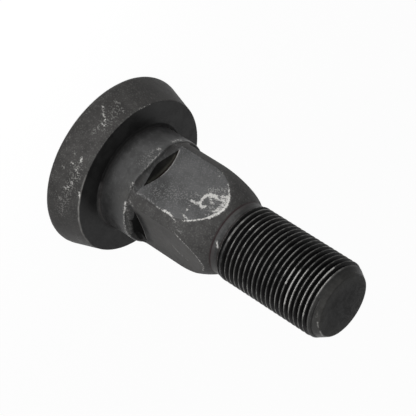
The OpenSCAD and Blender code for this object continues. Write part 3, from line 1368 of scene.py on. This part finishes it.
# One for each slot, in the order of Slot
FINISHES = (
    BlackedSteel(
        "forged_head", grey(0.026, 0.03), grey(0.036, 0.03), grains=0.32, grain_mm=0.5, roughness=0.55,
        gloss=0.11,
    ),
    # A darker copy of the head's finish: painted shade on the bearing face
    BlackedSteel(
        "bearing_face_painted_shade", grey(0.006), grey(0.010), grains=0.1, painted_nook_tone=grey(0.014), pale_and_sheen_colour=grey(0.034),
        roughness=0.42, gloss=0.075,
    ),
    BlackedSteel(
        "turned_neck", grey(0.040), grey(0.052), grains=0.12, painted_nook_tone=grey(0.020), roughness=0.34,
        gloss=0.14,
    ),
    BlackedSteel(
        "forged_square", grey(0.020, 0.03), grey(0.036, 0.03), grains=0.4, grain_mm=0.6,
        pale_and_sheen_colour=grey(0.050, 0.02), roughness=0.58, gloss=0.14,
    ),
    # Copies of one finish lit and shaded by colour: painted light on the flats that face ±X, painted shade
    # on those that face ±Y
    BlackedSteel(
        "flat_painted_light", grey(0.037, -0.01), grey(0.049, -0.01), grains=0.4, grain_mm=0.5, pale_and_sheen_colour=grey(0.076),
        roughness=0.58, gloss=0.25,
    ),
    BlackedSteel(
        "flat_painted_shade", grey(0.029, 0.03), grey(0.040, 0.03), grains=0.2, pale_and_sheen_colour=grey(0.064, 0.03),
        roughness=0.58, gloss=0.12,
    ),
    # A matt copy of the steel for painted shade at the flats' roots, and also at the neck's root and its
    # end face
    BlackedSteel(
        "root_painted_shade", grey(0.036), grey(0.050), grains=0.2, pale_and_sheen_colour=grey(0.036), roughness=0.7, gloss=0.05,
    ),
    # Painted shade inside the pockets, near black, with a painted olive sheen where marked
    BlackedSteel(
        "pocket_painted_shade", grey(0.004), grey(0.007), grains=0.1, sunk_reach=DEEPEST,
        pale_and_sheen_colour=(0.046, 0.045, 0.037, 1), hold=0.2, roughness=0.75, gloss=0.04,
    ),
    BlackedSteel(
        "turned_collar", grey(0.046), grey(0.058), grains=0.08, sunk_skin=(0.014, 0.005, 0.006, 1),
        gloss=0.04,
    ),
    # Painted shade darkens its grooves from just below the crests
    BlackedSteel(
        "cut_thread", grey(0.025), grey(0.038), grains=0.2, sunk_reach=0.08, bare_reach=0.4, hold=0.45,
        crest_wear=0.27, roughness=0.42, gloss=0.09,
    ),
    BlackedSteel(
        "sawn_end", grey(0.020), grey(0.042), grains=0.22, pale_and_sheen_colour=(0.050, 0.050, 0.048, 1), roughness=0.6,
        gloss=0.07,
    ),
)


@dataclass(frozen=True)
class PaleFloor:
    """A matt white floor that the camera and glossy rays see near white, with a faint shadow."""

    name: str = "pale_floor"
    own_shading: float = 0.03

    def make(self) -> bpy.types.Material:
        """Builds the material.

        Returns:
            The material.
        """
        material = bpy.data.materials.new(self.name)
        bench = NodeBench.cleared(material)
        matt = bench.node("BsdfDiffuse", None, Color=(0.9, 0.9, 0.9, 1))
        white = bench.node("Emission", None, Color=(1, 1, 1, 1), Strength=1.0)
        share = bench.sums("MULTIPLY", bench.white_rays(), 1 - self.own_shading)
        mix = bench.node("MixShader", None, Fac=share)
        bench.feed(mix.inputs[1], matt.outputs[0])
        bench.feed(mix.inputs[2], white.outputs[0])
        bench.feed(bench.node("OutputMaterial").inputs["Surface"], mix.outputs[0])
        return material


@dataclass
class Studio:
    """The floor, the soft lights and the surroundings."""

    floor_half: float = 1.5
    ambient: float = 0.02

    def build(self) -> None:
        """Builds the floor, the lamps and the world."""
        bm = bmesh.new()
        bmesh.ops.create_grid(bm, x_segments=1, y_segments=1, size=self.floor_half)
        floor = add_object("floor", as_mesh(bm, "floor"))
        floor.data.materials.append(PaleFloor().make())
        self.lamp("side_lamp", turn=45, height=10, away=0.8, size=0.35, power=2.3)
        self.lamp("far_lamp", turn=115, height=10, away=0.8, size=0.35, power=0.85)
        self.lamp("rear_lamp", turn=205, height=35, away=0.9, size=0.5, power=0.6)
        # This one hangs over the floor beside the bolt and looks straight down
        pool = self.lamp("floor_lamp", turn=15, height=0, away=0.15, size=0.14, power=0.36)
        pool.location.z = 0.1
        pool.rotation_quaternion = (1, 0, 0, 0)
        self.surroundings()

    def lamp(
        self, name: str, turn: float, height: float, away: float, size: float, power: float,
    ) -> bpy.types.Object:
        """Places a soft square lamp that looks at the bolt.

        Args:
            name: The lamp's name.
            turn: Its direction from the bolt, in degrees from +X towards +Y.
            height: Its angle above the floor, in degrees.
            away: Its distance in metres.
            size: Its width in metres.
            power: Its power in watts.

        Returns:
            The lamp.
        """
        data = bpy.data.lights.new(name, "AREA")
        data.shape, data.size, data.energy = "SQUARE", size, power
        lamp = add_object(name, data)
        aim = (CAD_BOX[0] + CAD_BOX[1]) / 2
        back = direction(turn, height)
        lamp.location = aim + back * away
        lamp.rotation_mode = "QUATERNION"
        lamp.rotation_quaternion = (-back).to_track_quat("-Z", "Y")
        lamp.visible_camera = False
        return lamp

    def surroundings(self) -> None:
        """Makes the world: white to the camera and in reflections, dim as a light."""
        world = bpy.data.worlds.new("studio")
        bpy.context.scene.world = world
        bench = NodeBench.cleared(world)
        strength = bench.rescale(bench.white_rays(), 0, 1, self.ambient, 1)
        light = bench.node("Background", None, Color=(1, 1, 1, 1), Strength=strength)
        bench.feed(bench.node("OutputWorld").inputs["Surface"], light.outputs[0])


@dataclass
class PhotoCamera:
    """The camera at the photograph's place, in millimetres and degrees."""

    aim: Point = (1.1, -2.8, 39.6)
    away: float = 599.6
    turn: float = 21.42
    height: float = 30.94
    roll: float = -122.37
    lens: float = 169.28

    def build(self) -> None:
        """Makes the camera and sets it as the scene's."""
        back, roll = direction(self.turn, self.height), math.radians(self.roll)
        upright = (Vector((0, 0, 1)) - back * back.z).normalized()
        level_right = (-back).cross(upright)
        up = upright * math.cos(roll) + level_right * math.sin(roll)
        right = (-back).cross(up)
        data = bpy.data.cameras.new("photo_camera")
        data.lens, data.sensor_width, data.sensor_fit = self.lens, 36, "HORIZONTAL"
        data.clip_start, data.clip_end = 0.05, 20
        camera = add_object("photo_camera", data)
        place = (Vector(self.aim) + back * self.away) * MM
        camera.matrix_world = Matrix.Translation(place) @ Matrix((right, up, back)).transposed().to_4x4()
        bpy.context.scene.camera = camera


def main() -> None:
    """Builds the camera, the studio and the bolt."""
    scene = bpy.context.scene
    scene.view_settings.view_transform = "Standard"
    PhotoCamera().build()
    Studio().build()
    bolt = Forging().build()
    for finish in FINISHES:
        bolt.data.materials.append(finish.make())
    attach(bolt, "root")
    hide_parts("blade_bolt")
    bolt.data.calc_loop_triangles()
    LOG.info("%s: %d triangles", bolt.name, len(bolt.data.loop_triangles))


if __name__ == "__main__":
    main()
